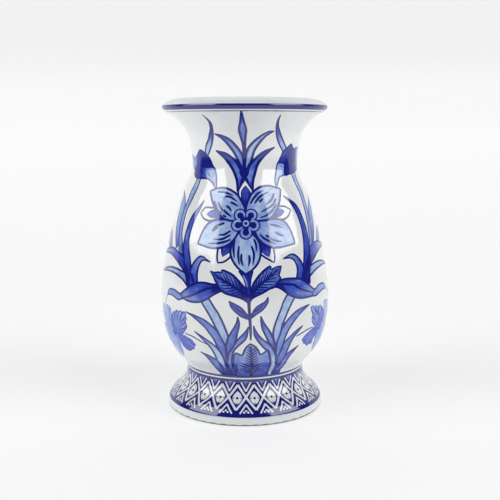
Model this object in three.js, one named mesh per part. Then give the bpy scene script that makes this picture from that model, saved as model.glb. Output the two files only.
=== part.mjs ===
// Blue-and-white pottery vase: a flared foot ring, a bowl-shaped lower belly,
// a shouldered upper belly and a trumpet neck with a rolled lip. The four
// sections are made apart and luted together with rings of slip.
// Millimetres, +Z up, origin at the centre of the face it stands on.

import * as THREE from 'three';

// Driving dimensions.
const HEIGHT = 200;
const FOOT = { radius: 50.9, bandHeight: 5.2, chamfer: 0.8 };
const WAIST = { radius: 38.3, height: 25 };
const BELLY = { radius: 55.2, height: 71 };
const THROAT = { radius: 34.1, height: 160 };
const LIP = { radius: 52.8, height: 195.2, crestRadius: 45 };
const WALL = 5.2;
const FLOOR_THICKNESS = 5.6;

// A luted joint is a stepped lap: an inner tongue on the section below stands
// in a rebate of the section above, with a thin layer of slip between them.
const JOINT_STEP = 2.4;
const SLIP_HALF_THICKNESS = 0.3;

// How finely the round shapes are cut into facets.
const FACETS_AROUND = 36;
const FACETS_PER_SPAN = 2;

const GLAZE_COLOUR = 0xe9edf2;
const SLIP_COLOUR = 0xd9d2c6;

// The outside of the vase, from the foot's edge up to the crest of the lip,
// as [radius, height]. A smooth curve runs through these points.
const OUTLINE = [
  [FOOT.radius, FOOT.chamfer],
  [FOOT.radius, FOOT.bandHeight],
  [48.5, 9.5],
  [41.2, 16.7],
  [WAIST.radius, WAIST.height],
  [39.8, 30.1],
  [45.3, 36.3],
  [50.3, 44.4],
  [53.8, 56],
  [BELLY.radius, BELLY.height],
  [54.4, 86],
  [52.2, 99],
  [49.1, 113],
  [45.0, 127.5],
  [40.4, 141.5],
  [35.4, 152],
  [THROAT.radius, THROAT.height],
  [34.9, 171],
  [38.0, 180.8],
  [46.9, 190.1],
  [51.5, 192.6],
  [LIP.radius, LIP.height],
  [50.2, 198],
  [LIP.crestRadius, HEIGHT],
];

// The lip rolls from its crest down into the mouth.
const LIP_ROLL = [
  [LIP.crestRadius, HEIGHT],
  [41.9, 199.2],
  [39.6, 196.4],
  [37.4, 191.8],
];

function smoothCurve(points) {
  const knots = points.map(([radius, height]) => new THREE.Vector3(radius, height, 0));
  return new THREE.CatmullRomCurve3(knots, false, 'centripetal');
}

// Samples of the outside between two heights that are points of the outline,
// each with the point one wall thickness inside it.
function wallBetween(lowest, highest) {
  const curve = smoothCurve(OUTLINE);
  const spans = OUTLINE.length - 1;
  const first = OUTLINE.findIndex((point) => point[1] === lowest);
  const last = OUTLINE.findIndex((point) => point[1] === highest);
  const samples = [];
  for (let i = first * FACETS_PER_SPAN; i <= last * FACETS_PER_SPAN; i += 1) {
    const t = i / (spans * FACETS_PER_SPAN);
    const outside = curve.getPoint(t);
    const along = curve.getTangent(t);
    samples.push({
      outside: [outside.x, outside.y],
      inside: [outside.x - WALL * along.y, outside.y + WALL * along.x],
    });
  }
  return samples;
}

// The stepped face that a joint gives to the section on one side of it
// (side -1 below the slip, +1 above it), from the outside inwards.
function jointFace(ring, side) {
  const middle = ring.radius - WALL / 2;
  const gap = side * SLIP_HALF_THICKNESS;
  return [
    [ring.radius, ring.height + gap],
    [middle + gap, ring.height + gap],
    [middle + gap, ring.height + JOINT_STEP + gap],
    [ring.radius - WALL, ring.height + JOINT_STEP + gap],
  ];
}

function outsideAbove(samples, lower, upper) {
  return samples
    .map((sample) => sample.outside)
    .filter((point) => point[1] > lower && point[1] < upper);
}

function insideAbove(samples, lower, upper) {
  return samples
    .map((sample) => sample.inside)
    .filter((point) => point[1] > lower && point[1] < upper)
    .reverse();
}

// Turns a closed half-section about the vertical axis.
function turned(profile, name, material) {
  const closed = [...profile, profile[0]];
  const points = closed.map(([radius, height]) => new THREE.Vector2(radius, height));
  const geometry = new THREE.LatheGeometry(points, FACETS_AROUND);
  geometry.rotateX(Math.PI / 2);
  const mesh = new THREE.Mesh(geometry, material);
  mesh.name = name;
  return mesh;
}

// Flared pedestal ring, open underneath, standing on a flat annulus.
function footProfile() {
  const samples = wallBetween(FOOT.chamfer, WAIST.height);
  const standingOuter = FOOT.radius - FOOT.chamfer;
  const standingInner = FOOT.radius - WALL;
  return [
    [standingInner, 0],
    [standingOuter, 0],
    ...outsideAbove(samples, 0, WAIST.height),
    ...jointFace(WAIST, -1),
    ...insideAbove(samples, FOOT.chamfer, WAIST.height),
  ];
}

// Bowl with a flat floor, up to the widest part of the belly.
function lowerBellyProfile() {
  const samples = wallBetween(WAIST.height, BELLY.height);
  const underside = WAIST.height + JOINT_STEP + SLIP_HALF_THICKNESS;
  const floor = underside + FLOOR_THICKNESS;
  const floorRadius = WAIST.radius - 2 * WALL;
  return [
    [0, underside],
    ...jointFace(WAIST, 1).reverse(),
    ...outsideAbove(samples, WAIST.height + SLIP_HALF_THICKNESS, BELLY.height),
    ...jointFace(BELLY, -1),
    ...insideAbove(samples, floor + WALL / 2, BELLY.height),
    [floorRadius + WALL, floor + WALL / 4],
    [floorRadius, floor],
    [0, floor],
  ];
}

// Shoulder, from the widest part of the belly in to the throat.
function upperBellyProfile() {
  const samples = wallBetween(BELLY.height, THROAT.height);
  const insideStart = BELLY.height + JOINT_STEP + SLIP_HALF_THICKNESS;
  return [
    ...jointFace(BELLY, 1).reverse(),
    ...outsideAbove(samples, BELLY.height + SLIP_HALF_THICKNESS, THROAT.height),
    ...jointFace(THROAT, -1),
    ...insideAbove(samples, insideStart, THROAT.height),
  ];
}

// Trumpet neck with its rolled lip.
function neckProfile() {
  const samples = wallBetween(THROAT.height, HEIGHT);
  const insideStart = THROAT.height + JOINT_STEP + SLIP_HALF_THICKNESS;
  const rollFoot = LIP_ROLL[LIP_ROLL.length - 1];
  const roll = smoothCurve(LIP_ROLL).getPoints((LIP_ROLL.length - 1) * FACETS_PER_SPAN);
  const inside = insideAbove(samples, insideStart, rollFoot[1])
    .filter((point) => point[0] < rollFoot[0]);
  return [
    ...jointFace(THROAT, 1).reverse(),
    ...outsideAbove(samples, THROAT.height + SLIP_HALF_THICKNESS, HEIGHT),
    ...roll.map((point) => [point.x, point.y]),
    ...inside,
  ];
}

// The layer of slip that fills one stepped joint.
function slipProfile(ring) {
  return [
    ...jointFace(ring, -1).reverse(),
    ...jointFace(ring, 1),
  ];
}

const glazedClay = new THREE.MeshStandardMaterial({
  color: GLAZE_COLOUR,
  roughness: 0.12,
  metalness: 0,
});
const slip = new THREE.MeshStandardMaterial({
  color: SLIP_COLOUR,
  roughness: 0.8,
  metalness: 0,
});

const vase = new THREE.Group();
vase.add(turned(footProfile(), 'foot', glazedClay));
vase.add(turned(lowerBellyProfile(), 'lower_belly', glazedClay));
vase.add(turned(upperBellyProfile(), 'upper_belly', glazedClay));
vase.add(turned(neckProfile(), 'neck', glazedClay));
vase.add(turned(slipProfile(WAIST), 'waist_luting', slip));
vase.add(turned(slipProfile(BELLY), 'belly_luting', slip));
vase.add(turned(slipProfile(THROAT), 'throat_luting', slip));

export default vase;
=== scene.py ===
"""A white-glazed pottery vase painted in cobalt blue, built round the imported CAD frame.

The painting is laid out flat: x is the distance round the pot in millimetres on a circle of
ROUND_RADIUS, with 0 at the front and + to the right, and s is the distance up the outline from
the foot. The flat drawing is cut into facets along every brush edge and wrapped on the pot, so
each line and wash is its own piece of surface.
"""

import math

import bpy
import numpy as np
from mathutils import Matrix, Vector
from mathutils.geometry import delaunay_2d_cdt


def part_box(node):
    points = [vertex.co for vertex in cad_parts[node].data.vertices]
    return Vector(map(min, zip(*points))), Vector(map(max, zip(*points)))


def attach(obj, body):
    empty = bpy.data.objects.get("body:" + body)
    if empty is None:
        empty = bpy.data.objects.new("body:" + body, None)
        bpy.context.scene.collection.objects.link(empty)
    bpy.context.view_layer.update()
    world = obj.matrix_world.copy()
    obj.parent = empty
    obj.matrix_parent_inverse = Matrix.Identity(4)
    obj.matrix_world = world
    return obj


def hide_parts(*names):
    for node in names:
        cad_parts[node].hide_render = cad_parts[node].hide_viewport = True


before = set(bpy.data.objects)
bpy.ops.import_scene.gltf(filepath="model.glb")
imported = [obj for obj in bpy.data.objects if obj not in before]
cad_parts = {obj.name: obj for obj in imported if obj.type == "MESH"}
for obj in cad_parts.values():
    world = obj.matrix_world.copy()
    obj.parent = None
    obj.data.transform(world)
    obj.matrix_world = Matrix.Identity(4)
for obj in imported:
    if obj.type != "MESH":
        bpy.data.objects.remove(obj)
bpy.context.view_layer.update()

MM = 0.001

# ---------------------------------------------------------------- driving dimensions, mm
ROUND_RADIUS = 50.0
TURN = 2 * math.pi * ROUND_RADIUS
PANEL = TURN / 2  # the same painting is on the front and on the back

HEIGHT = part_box("neck")[1][2] / MM
WALL = 5.2
SLIP = 0.3  # half the thickness of the slip in a joint
STEP = 2.4  # height of the step in a joint
FLOOR_THICKNESS = 5.6
FOOT_RADIUS = 50.9
CHAMFER = 0.8
DIAMONDS = 24  # in the lattice round the foot

WAIST = (38.3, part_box("waist_luting")[0][2] / MM + SLIP)
BELLY = (55.2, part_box("belly_luting")[0][2] / MM + SLIP)
THROAT = (34.1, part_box("throat_luting")[0][2] / MM + SLIP)
CREST = (45.0, HEIGHT)

# The outside from the foot's edge to the crest of the lip, as (radius, height).
OUTLINE = [
    (FOOT_RADIUS, CHAMFER), (FOOT_RADIUS, 5.2), (48.5, 9.5), (41.2, 16.7), WAIST,
    (39.8, 30.1), (45.3, 36.3), (50.3, 44.4), (53.8, 56.0), BELLY,
    (54.4, 86.0), (52.2, 99.0), (49.1, 113.0), (45.0, 127.5), (40.4, 141.5), (35.4, 152.0), THROAT,
    (34.9, 171.0), (38.0, 180.8), (46.9, 190.1), (51.5, 192.6), (52.8, 195.2), (50.2, 198.0), CREST,
]
LIP_ROLL = [CREST, (41.9, 199.2), (39.6, 196.4), (37.4, 191.8)]


# ---------------------------------------------------------------- curves
def smooth(points, per_span=12):
    """A centripetal Catmull-Rom curve through the points."""
    knots = np.array(points, float)
    if len(knots) == 2:
        return np.linspace(knots[0], knots[1], per_span + 1)
    knots = np.vstack([2 * knots[0] - knots[1], knots, 2 * knots[-1] - knots[-2]])
    curve = []
    for i in range(1, len(knots) - 2):
        p = knots[i - 1 : i + 3]
        t = [0.0]
        for a, b in zip(p, p[1:]):
            t.append(t[-1] + max(np.hypot(*(b - a)), 1e-9) ** 0.5)
        for k in range(per_span):
            u = t[1] + (t[2] - t[1]) * k / per_span
            a1 = ((t[1] - u) * p[0] + (u - t[0]) * p[1]) / (t[1] - t[0])
            a2 = ((t[2] - u) * p[1] + (u - t[1]) * p[2]) / (t[2] - t[1])
            a3 = ((t[3] - u) * p[2] + (u - t[2]) * p[3]) / (t[3] - t[2])
            b1 = ((t[2] - u) * a1 + (u - t[0]) * a2) / (t[2] - t[0])
            b2 = ((t[3] - u) * a2 + (u - t[1]) * a3) / (t[3] - t[1])
            curve.append(((t[2] - u) * b1 + (u - t[1]) * b2) / (t[2] - t[1]))
    curve.append(knots[-2])
    return np.array(curve)


def run_along(curve):
    """Distance along a curve at each of its points."""
    return np.append(0, np.cumsum(np.hypot(*np.diff(curve, axis=0).T)))


def resample(curve, count):
    """The same curve with a given number of evenly spaced points."""
    run = run_along(curve)
    at = np.linspace(0, run[-1], count)
    return np.column_stack([np.interp(at, run, curve[:, 0]), np.interp(at, run, curve[:, 1])])


def even(curve, spacing):
    """The same curve with points about one spacing apart."""
    length = run_along(curve)[-1]
    return resample(curve, max(3, math.ceil(length / spacing) + 1))


# ---------------------------------------------------------------- the wall of the pot
outside = np.vstack([[[FOOT_RADIUS - CHAMFER, 0]], smooth(OUTLINE, 40)])
outside_run = run_along(outside)
outside_slope = np.gradient(outside[1:], axis=0)
outside_slope /= np.hypot(*outside_slope.T)[:, None]


def s_at(height):
    """Distance up the outline at a height in mm."""
    return float(np.interp(height, outside[:, 1], outside_run))


def wall_radius(s):
    """Outer radius in mm at a distance up the outline."""
    return np.interp(s, outside_run, outside[:, 0])


def on_wall(x, s):
    """Places in metres and outward normals for points of the flat drawing."""
    angle = x / ROUND_RADIUS
    radius = wall_radius(s)
    height = np.interp(s, outside_run, outside[:, 1])
    slope_r = np.interp(s, outside_run[1:], outside_slope[:, 0])
    slope_z = np.interp(s, outside_run[1:], outside_slope[:, 1])
    place = np.column_stack([radius * np.sin(angle), -radius * np.cos(angle), height]) * MM
    normal = np.column_stack([slope_z * np.sin(angle), -slope_z * np.cos(angle), -slope_r])
    return place, normal


S_FOOT = s_at(CHAMFER)
S_CREST = float(outside_run[-1])
JOINTS = [s_at(ring[1]) for ring in (WAIST, BELLY, THROAT)]
SECTIONS = ["foot", "lower_belly", "upper_belly", "neck"]

# ---------------------------------------------------------------- brushwork
GLAZE, LINE, WASH, CLAY = "glaze", "line", "wash", "clay"
FINE = 1.1  # spacing of points along a brush edge, mm
LEAF_STEPS = 40  # places along a leaf where its middle and half width are worked out
PEN_SPREAD = 1.14  # how much a pen line widens as the glaze melts over it
painted = []  # in the order of painting: later shapes cover earlier ones


def lay(ring, ink, spine=None, half=None, tones=(1.0,), side=0.0):
    """Adds one painted shape: a closed ring of (x, s) points filled with one ink.

    The tones, from 0 pale to 1 dark, run along the spine, and side shades from one edge to the other.
    """
    ring = np.array(ring, float)
    following = np.roll(ring, -1, axis=0)
    if (ring[:, 0] * following[:, 1] - following[:, 0] * ring[:, 1]).sum() < 0:
        ring = ring[::-1].copy()  # always anticlockwise
    if spine is None:
        middle = ring.mean(axis=0)
        reach = np.hypot(*(ring - middle).T).max()
        spine = np.array([middle - (0, reach), middle, middle + (0, reach)])
        half = np.full(3, reach)
    painted.append(dict(ring=ring, ink=ink, spine=spine, half=half, tones=tones, side=side))


def edges_of(spine, half):
    """The two edges of a brush stroke whose half widths are true millimetres on the pot."""
    stretch = ROUND_RADIUS / wall_radius(spine[:, 1])
    run = np.gradient(spine, axis=0)
    true = run / np.column_stack([stretch, np.ones(len(run))])
    true /= np.maximum(np.hypot(*true.T), 1e-9)[:, None]
    offset = np.column_stack([-true[:, 1] * stretch, true[:, 0]]) * half[:, None]
    return spine + offset, spine - offset


def stroke(points, half=0.5, start=0.35, end=0.1, ink=LINE, tones=(1.0,)):
    """A line of the brush, thinner towards its two ends by the given shares."""
    spine = even(smooth(points), FINE)
    t = np.linspace(0, 1, len(spine))
    rise = np.clip(t / 0.3, 0, 1)
    fall = np.clip((1 - t) / 0.45, 0, 1)
    width = half * (start + (1 - start) * rise) * (end + (1 - end) * fall**0.8)
    if ink == LINE:
        width = width * PEN_SPREAD
    left, right = edges_of(spine, width)
    lay(np.vstack([left, right[::-1]]), ink, spine, width, tones)


def leaf(edge_a, edge_b, tones, line=0.58, side=0.0, ends=(0.8, 0.5), ink=WASH):
    """A washed shape between two edges drawn from its base to its tip."""
    a = smooth(edge_a)
    b = smooth(edge_b)
    spacing = max(np.hypot(*np.diff(edge, axis=0).T).sum() for edge in (a, b)) / LEAF_STEPS
    a = even(a, spacing)
    b = even(b, spacing)
    a_steps = resample(a, LEAF_STEPS)
    b_steps = resample(b, LEAF_STEPS)
    half = np.maximum(np.hypot(*(a_steps - b_steps).T) / 2, 0.05)
    ring = np.vstack([even(a, FINE), even(b, FINE)[::-1]])
    lay(ring, ink, (a_steps + b_steps) / 2, half, tones, side)
    if line:
        stroke(edge_a, line, *ends)
        stroke(edge_b, line, *ends)


def band(low, high, ink, wobble=0.0, turns=0):
    """A ring painted all the way round, from one distance up the outline to another."""
    x = np.linspace(-PANEL / 2 - 4, PANEL / 2 + 4, 160)  # a little past both sides of the panel
    wave = wobble * np.sin(2 * math.pi * turns * x / PANEL)
    wave_back = wobble * np.cos(2 * math.pi * (turns + 1) * x / PANEL)
    lower = np.column_stack([x, low + wave])
    upper = np.column_stack([x, high + wave_back])
    middle = np.column_stack([x, np.full(len(x), (low + high) / 2)])
    lay(np.vstack([lower, upper[::-1]]), ink, middle, np.full(len(x), (high - low) / 2))


def disc(centre, radius, ink, tones=(1.0,)):
    """A spot that is round on the pot, whatever the pot's radius there."""
    stretch = ROUND_RADIUS / wall_radius(centre[1])
    t = np.linspace(0, 2 * math.pi, max(10, int(radius * 6)), endpoint=False)
    ring = np.column_stack([centre[0] + radius * stretch * np.cos(t), centre[1] + radius * np.sin(t)])
    lay(ring, ink, tones=tones)


def dashes(marks, half=0.66):
    """Short dark pen strokes, such as those inside a petal."""
    for points in marks:
        stroke(points, half, 0.7, 0.35)


def veins(midrib, edges, count, reach=0.8, lean=0.17, half=0.42):
    """A dark midrib with side veins that lean towards the tip, on both sides."""
    middle = resample(smooth(midrib), 61)
    for edge in edges:
        rim = resample(smooth(edge), 61)
        for share in np.linspace(0.06, 0.8, count):
            foot = middle[int(60 * share)]
            end = foot + reach * (rim[int(60 * min(share + lean, 1))] - foot)
            stroke([foot, end], half, 1.0, 0.35)
    stroke(midrib, 0.75, 1.0, 0.4)


# ---------------------------------------------------------------- the drawing, in mm
def neck_leaves():
    """The spear and the four arching blades above the flower."""
    leaf([(-0.2, 164), (-0.8, 183), (-2.9, 189), (-4.2, 193.5), (-3, 199.5), (-1.9, 210)],
         [(0.3, 164), (0.2, 178), (0.9, 189), (1.4, 193.5), (-0.2, 199.5), (-1.7, 210)],
         (1.0, 0.85, 0.42, 0.42, 0.9), line=0.72)
    leaf([(-0.4, 164), (-0.8, 175.5), (-2.3, 178.5), (-9.6, 185.3), (-14, 188), (-19.7, 189.9),
          (-25.9, 190.9)],
         [(-1.2, 164), (-2, 168.8), (-5.1, 173.4), (-7.1, 176.8), (-9.8, 180.1), (-17, 186.3),
          (-21.1, 188.8), (-25.9, 190.9)], (0.9, 0.5, 0.28, 0.34, 0.75, 1.0), line=0.72)
    leaf([(0.2, 164), (1.8, 179.6), (7.1, 185.3), (19.8, 192.2), (24.9, 192.7)],
         [(0.8, 164), (1.4, 166.6), (3.8, 170.7), (6.2, 174.2), (8.8, 180.6), (17.3, 188.8), (24.9, 192.7)],
         (0.5, 0.16, 0.1, 0.12, 0.3, 0.8), line=0.72)
    leaf([(-2.5, 155), (-2.2, 162), (-0.4, 165.5), (-4.7, 170.9), (-7.5, 174.2), (-12, 176.6),
          (-16.5, 178.7), (-26.5, 180.4)],
         [(-5, 155), (-6.4, 162.7), (-7.7, 165.2), (-9.9, 168.7), (-17, 175.2), (-26.5, 180.4)],
         (0.85, 0.5, 0.45, 0.55, 0.9, 1.0), line=0.78)
    leaf([(3.5, 155), (2.6, 162), (0.6, 165.2), (2.5, 167.7), (5, 172), (9, 175), (16.7, 179.5),
          (28.1, 182.5)],
         [(6.3, 155), (7.4, 162.7), (8.7, 165.5), (11.8, 172), (15.1, 175.2), (22.7, 180), (28.1, 182.5)],
         (0.85, 0.42, 0.45, 0.65, 0.9, 1.0), line=0.78)
    stroke([(0, 162.5), (-0.5, 177.5), (-1.6, 183)], 0.95, 0.9, 0.3)
    stroke([(-2, 168.6), (-3.9, 172), (-6.6, 175.4)], 0.8, 0.5, 0.2)
    stroke([(1.6, 167), (3.8, 171.4), (6.2, 174.6)], 0.8, 0.5, 0.2)
    stroke([(-0.8, 164.6), (-4.6, 168.6)], 0.9, 0.9, 0.2)
    stroke([(0.8, 164.4), (4.2, 168.6)], 0.8, 0.9, 0.2)


def bud_curls():
    """The thin leaf that curls up from each bud towards the rim."""
    leaf([(-39.2, 179.2), (-37, 183.4), (-33.3, 187.1), (-30.8, 190.5), (-28.4, 193.8), (-26.8, 199.6),
          (-28.8, 206)],
         [(-35.4, 177.7), (-29.3, 185.7), (-26.5, 193.8), (-25.5, 199.4), (-28.8, 206)],
         (0.08, 0.15, 0.85, 1.0, 0.9))
    leaf([(38.2, 179.5), (32.2, 184.8), (28.6, 189.6), (24.6, 199.4), (24.2, 206)],
         [(42.4, 181.4), (34.2, 188.5), (29.7, 193.2), (28, 195), (25.7, 199.4), (24.2, 206)],
         (0.08, 0.15, 0.6, 1.0, 0.9))


def left_bud():
    """The bud on the left of the neck: a pale tail under a dark cap, with a small leaf outside."""
    leaf([(-54, 166), (-60.5, 170), (-65.7, 174.8), (-68.2, 177.6)],
         [(-50, 168), (-51.5, 174), (-51.5, 177.6), (-57, 175.2), (-62, 176.4), (-68.2, 177.6)],
         (0.5, 0.35, 0.25), line=0.4)
    leaf([(-56.9, 166.9), (-54.4, 164.9), (-49.6, 163.4), (-41.2, 163.1), (-35.7, 163.2), (-28, 160.5),
          (-22.2, 155)],
         [(-57, 168), (-53, 171), (-38.8, 170.4), (-29.4, 170.4), (-26.6, 167.4), (-22.2, 155)],
         (0.95, 0.85, 0.5, 0.14, 0.12))
    stroke([(-56.6, 167), (-54.4, 165), (-49.6, 163.5), (-41.2, 163.2)], 0.9, 0.7, 0.5)
    leaf([(-29.4, 170.4), (-38.8, 170.3), (-45.3, 170.9), (-53.2, 172.3), (-52.3, 174.8), (-51.4, 177.9),
          (-47.8, 180.6)],
         [(-29.4, 170.4), (-35.5, 176.6), (-44, 180.4), (-47.8, 180.6)], (0.8, 0.92, 0.85, 0.7))
    stroke([(-31, 171.2), (-37.5, 172.4), (-43, 174.4), (-47.6, 178.4)], 1.3, 0.4, 0.2, WASH, (1.0, 0.95))
    stroke([(-36, 174.8), (-40.5, 176.6), (-45.5, 179)], 0.7, 0.4, 0.3, WASH, (0.95, 0.9))
    for k in range(4):
        x = -51.5 + 3.6 * k
        stroke([(x, 173.2 - 0.5 * k), (x + 1.6, 170.6 - 0.3 * k)], 0.75, 0.9, 0.3)
    dashes([[(-47.6, 167.6), (-42.4, 169.5)],
            [(-44.8, 165.6), (-43, 166.6), (-41.5, 168.2)],
            [(-51.6, 168.6), (-49.6, 167), (-48, 165.2)],
            [(-37.5, 168.6), (-35, 166.4), (-32, 164.4)]], 0.6)


def right_bud():
    """The bud on the right of the neck: a pale tail, a dark cap and a small leaf outside."""
    leaf([(56.5, 166.8), (63.6, 168.3), (67.4, 173.1), (71.5, 178.6), (72.5, 183)],
         [(53, 172), (54, 178), (57.5, 181.2), (62, 182), (65, 181.2), (72.5, 183.2)],
         (0.5, 0.4, 0.3, 0.2), line=0.45)
    leaf([(39.7, 165.4), (33.3, 164.2), (30.9, 162.2), (25.4, 155)],
         [(40.6, 172.3), (32.1, 172.8), (30.3, 169), (27.3, 162.4), (25.4, 155)],
         (0.2, 0.14, 0.12, 0.16), line=0.45)
    leaf([(58.9, 167.1), (57.5, 166.8), (47.3, 166.3), (39.7, 165.4), (40.6, 172.3), (32.1, 172.8)],
         [(60.6, 170), (61.4, 175), (60.5, 180), (56.8, 180.6), (52.7, 181.8), (49.1, 184), (43.2, 182),
          (38.2, 179.8), (35.8, 176.8), (32.1, 172.8)], (0.95, 0.95, 0.8, 0.65))
    stroke([(41.5, 167.5), (43.6, 171.6), (46, 176.5), (50.2, 181.4)], 1.5, 0.5, 0.2, WASH, (1.0, 0.9))
    stroke([(47, 167.4), (48.4, 172.5), (50, 177)], 1.6, 0.6, 0.2, WASH, (1.0, 0.95))
    stroke([(53.5, 167.4), (54.6, 177.5)], 1.3, 0.6, 0.2, WASH, (0.95, 0.9))
    stroke([(36.4, 176.4), (41, 176.6), (44.4, 179.4)], 0.6, 0.5, 0.3, WASH, (0.95, 0.9))
    stroke([(58.6, 167), (39.8, 165.4)], 0.8, 0.8, 0.6)
    stroke([(40.6, 172.2), (39.7, 165.6)], 0.6, 0.8, 0.6)


FLOWER_MIDDLE = (1.0, 135.5)


def flower_petals():
    """Five petals, as pairs of edges from the middle of the flower to the petal's tip."""
    return [
        ([(0.5, 142), (0.4, 144.8), (-2.2, 149.3), (-4.6, 152.6), (-8.2, 155), (-13.4, 157), (-17.4, 157.6),
          (-22.5, 156.8), (-27.8, 155.1)],
         [(-4, 137.5), (-8.1, 136.8), (-12.3, 137.4), (-15.8, 139.2), (-22.5, 146), (-27.8, 155.1)]),
        ([(0.8, 142), (1.1, 144.6), (2.2, 148.3), (5.8, 154.1), (11, 157.5), (16.3, 158.7), (21.6, 158.6),
          (26.8, 157.1), (30.2, 156.5)],
         [(5, 137.5), (13.4, 136.9), (19.1, 139.1), (24, 144.1), (26.9, 148.7), (30.2, 156.5)]),
        ([(-3, 131.5), (-6.6, 125.5), (-10.3, 122.2), (-15, 120.4), (-20.5, 120.1), (-30.7, 122)],
         [(-4, 136.8), (-8.7, 137), (-14.5, 137.8), (-23.7, 135.6), (-27.6, 131.1), (-30.7, 122)]),
        ([(5, 132), (6.8, 130.1), (8.6, 126.4), (11.8, 123.1), (16, 120.8), (21, 120.3), (33.7, 121.9)],
         [(5, 136.8), (15.5, 137.3), (21.1, 137.8), (27.4, 136.3), (31.3, 131.4), (33.2, 125.5),
          (33.7, 121.9)]),
        ([(-2.4, 132), (-4.3, 128.8), (-6.6, 125.5), (-8.1, 121.3), (-8.2, 116.8), (-6.3, 112.2),
          (-3.1, 108.2), (0.9, 105)],
         [(4.2, 132), (5.3, 129.2), (8.1, 125.9), (9.6, 121.8), (9.8, 117.2), (8.5, 112.6), (5.3, 108.2),
          (0.9, 105)]),
    ]


PETAL_MARKS = [
    [(-21.2, 154.8), (-14.8, 154.4), (-8.3, 152.6)], [(-14.7, 152), (-10.3, 151.6), (-5, 148.8)],
    [(-10, 148.5), (-7.1, 147.4), (-4.3, 145.7)], [(-12.9, 146.3), (-10.2, 144.5), (-8.9, 142.6)],
    [(-14.6, 143.7), (-12.2, 141.6), (-8.8, 139.6)], [(-14.8, 140.4), (-12.2, 139.1)],
    [(-22.8, 148.9), (-19.8, 144.2), (-16.3, 141.5)], [(-19.2, 148.1), (-17, 144.8), (-14.8, 143)],
    [(4.4, 147.4), (6.7, 150.7), (10.5, 154), (15.7, 155.9)],
    [(7.4, 147.8), (10.2, 150.6), (13.3, 152.7), (18.6, 154.6)], [(10.8, 148.5), (13.9, 150.6)],
    [(23.2, 153.7), (20.1, 149.5), (15.5, 146.7)], [(24, 150.3), (20.8, 146.6), (11.7, 142.4)],
    [(23.9, 146.9), (20.2, 143.3), (15.3, 140.2), (10.3, 138.9)], [(-13.2, 135.5), (-15.3, 135)],
    [(-13.7, 135.3), (-18.9, 133.5), (-21.5, 130.5)], [(-17.2, 133.3), (-19.2, 131.8), (-20.9, 130.1)],
    [(-8.8, 131), (-12.7, 128.6), (-16.7, 128.2)], [(-8.7, 128.5), (-14.4, 125.7), (-19.8, 125.5)],
    [(-8.6, 125.7), (-12.3, 124.2), (-17.2, 123.1), (-22.9, 122.8)],
    [(9.7, 128.9), (12.5, 126.3), (19.7, 122.5)], [(13.6, 128.3), (16, 126.6)],
    [(16.5, 126.1), (19.4, 124.6), (24.1, 123.9)], [(20.3, 129.9), (23, 128.1), (26.3, 127.2)],
    [(16.8, 134.5), (21.6, 133.6), (25.4, 132.2)], [(-5.9, 126), (-6.5, 121.4), (-5.9, 114.5)],
    [(-3.2, 121.9), (-3.6, 116.8), (-2.9, 110.5)], [(-1.6, 117.3), (-1.8, 113.7), (-0.7, 109.8)],
    [(2.9, 116.4), (3.1, 113.2), (2.4, 109.6)], [(4.4, 121.9), (5.7, 116.8), (4.9, 110.4)],
    [(5.9, 126), (7.2, 122.7), (7.3, 118.6)],
]


def sepals():
    """The five small dark-hearted leaves that show between the petals."""
    outlines = [
        ([(-18, 138), (-24.4, 136.5), (-29, 137.7), (-32.4, 140.8)],
         [(-19, 145), (-24.1, 144.6), (-29.3, 144.4), (-32.4, 140.8)]),
        ([(18, 138), (27.6, 137.3), (31.9, 138.9), (35.4, 142.8)],
         [(20, 146), (25.5, 145.4), (30.1, 145.2), (35.4, 142.8)]),
        ([(-15.8, 123), (-16.4, 115.5), (-15.7, 111.4)],
         [(-6, 119), (-8.6, 114.9), (-12.2, 112.1), (-15.7, 111.4)]),
        ([(17.6, 123), (18.3, 115.4), (17.8, 111.3)], [(8, 120), (10, 116.7), (17.8, 111.3)]),
        ([(-3.4, 150), (-4.7, 155.1), (-2.5, 159.6), (0.6, 163.1)],
         [(5, 150), (6.5, 155), (3.7, 159.6), (0.6, 163.1)]),
    ]
    hearts = [
        ([(-12, 136.6), (-19, 138.3), (-24, 138.9), (-27, 140.4)],
         [(-12, 143), (-18.6, 143.6), (-23.6, 142.9), (-27, 140.8)]),
        ([(12, 136.6), (20, 138.4), (26, 139.6), (29.4, 142)],
         [(12, 143), (19, 144.8), (25.6, 144), (29.4, 142.4)]),
        ([(-13.5, 123), (-13.9, 118.4), (-13, 115.2)],
         [(-4, 125), (-7.7, 119.6), (-10.4, 117), (-13, 115.2)]),
        ([(15.6, 123), (15.8, 118.4), (14.8, 115)], [(6, 125), (9.3, 119.8), (12, 116.8), (14.8, 115)]),
        ([(0.2, 144), (-2.3, 153.1), (-1.8, 156.1), (0.9, 159.1)],
         [(0.9, 144), (4.6, 154.1), (3.6, 156.1), (0.9, 159.1)]),
    ]
    for edge_a, edge_b in outlines:
        leaf(edge_a, edge_b, (0,), ink=GLAZE, line=0.55, ends=(0.9, 0.8))
    for edge_a, edge_b in hearts:
        leaf(edge_a, edge_b, (0.95, 0.75, 0.6), line=0.3)
    disc(FLOWER_MIDDLE, 9, LINE)


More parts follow.
